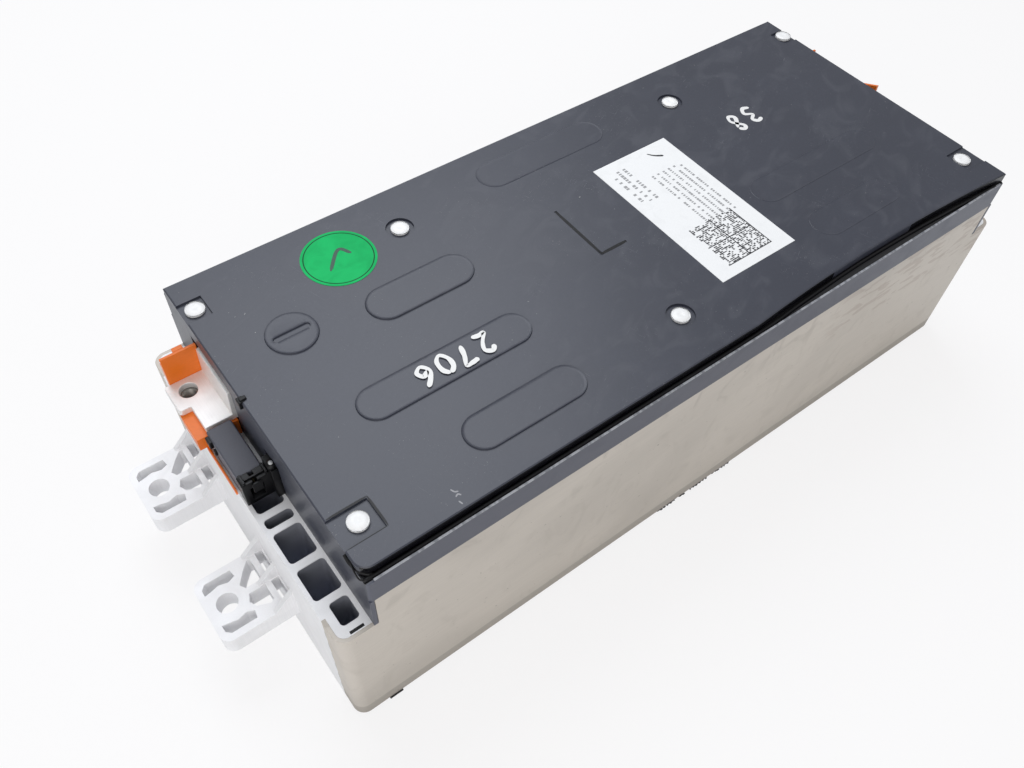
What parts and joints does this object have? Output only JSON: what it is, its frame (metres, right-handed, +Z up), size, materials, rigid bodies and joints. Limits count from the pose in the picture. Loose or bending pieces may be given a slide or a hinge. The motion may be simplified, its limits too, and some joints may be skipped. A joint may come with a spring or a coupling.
{
  "type": "ev battery module",
  "caption": "Long flat-sided battery module: clamped prismatic cells between extruded end plates with bolt lugs, bent side sheets, a black cover and a bolt-on power terminal at each end.",
  "frame": {"origin": "on the floor under the middle of the module", "axes": "+X along the module, away from the end with the signal connector; +Y across it, towards the side that the power terminals are nearer; +Z up"},
  "size_m": [0.414, 0.148, 0.1093],
  "materials": {
    "end_plate": "extruded, milled and slightly dull",
    "side_sheet": "bare sheet with a warm grey passivation, smudged",
    "cell_film": "blue insulating film over an aluminium can",
    "foam": "soft closed foam",
    "insulator": "moulded",
    "film": "thin insulating film",
    "link": "rolled strip",
    "carrier": "moulded, natural",
    "flex": "amber film",
    "busbar": "satin",
    "orange": "moulded, satin",
    "nut": "zinc plated",
    "cap": "moulded, fine grain",
    "connector": "moulded black",
    "pin": "tin flashed",
    "cover": "fine grain, satin sheen",
    "rivet": "white nylon",
    "label": "coated label stock",
    "sticker": "green film"
  },
  "bodies": {
    "root": {"end_plate_front": "end_plate", "end_insulator_front": "insulator", "output_busbar_front": "busbar", "terminal_housing_front": "orange", "terminal_nut_front": "nut", "duct_cap_front": "cap", "end_plate_rear": "end_plate", "end_insulator_rear": "insulator", "output_busbar_rear": "busbar", "terminal_housing_rear": "orange", "terminal_nut_rear": "nut", "duct_cap_rear": "cap", "side_sheet_left": "side_sheet", "side_sheet_right": "side_sheet", "cell_01": "cell_film", "cell_02": "cell_film", "cell_03": "cell_film", "cell_04": "cell_film", "cell_05": "cell_film", "cell_06": "cell_film", "cell_07": "cell_film", "cell_08": "cell_film", "cell_09": "cell_film", "cell_10": "cell_film", "cell_11": "cell_film", "cell_12": "cell_film", "foam_pad_01": "foam", "foam_pad_02": "foam", "foam_pad_03": "foam", "foam_pad_04": "foam", "foam_pad_05": "foam", "foam_pad_06": "foam", "foam_pad_07": "foam", "foam_pad_08": "foam", "foam_pad_09": "foam", "foam_pad_10": "foam", "foam_pad_11": "foam", "cell_link_01": "link", "cell_link_02": "link", "cell_link_03": "link", "cell_link_04": "link", "cell_link_05": "link", "cell_link_06": "link", "cell_link_07": "link", "cell_link_08": "link", "cell_link_09": "link", "cell_link_10": "link", "cell_link_11": "link", "bottom_film": "film", "cell_carrier": "carrier", "flex_circuit": "flex", "signal_connector": "connector", "signal_pins": "pin", "cover": "cover", "cover_rivets": "rivet", "data_label": "label", "round_sticker": "sticker"}
  },
  "joints": []
}
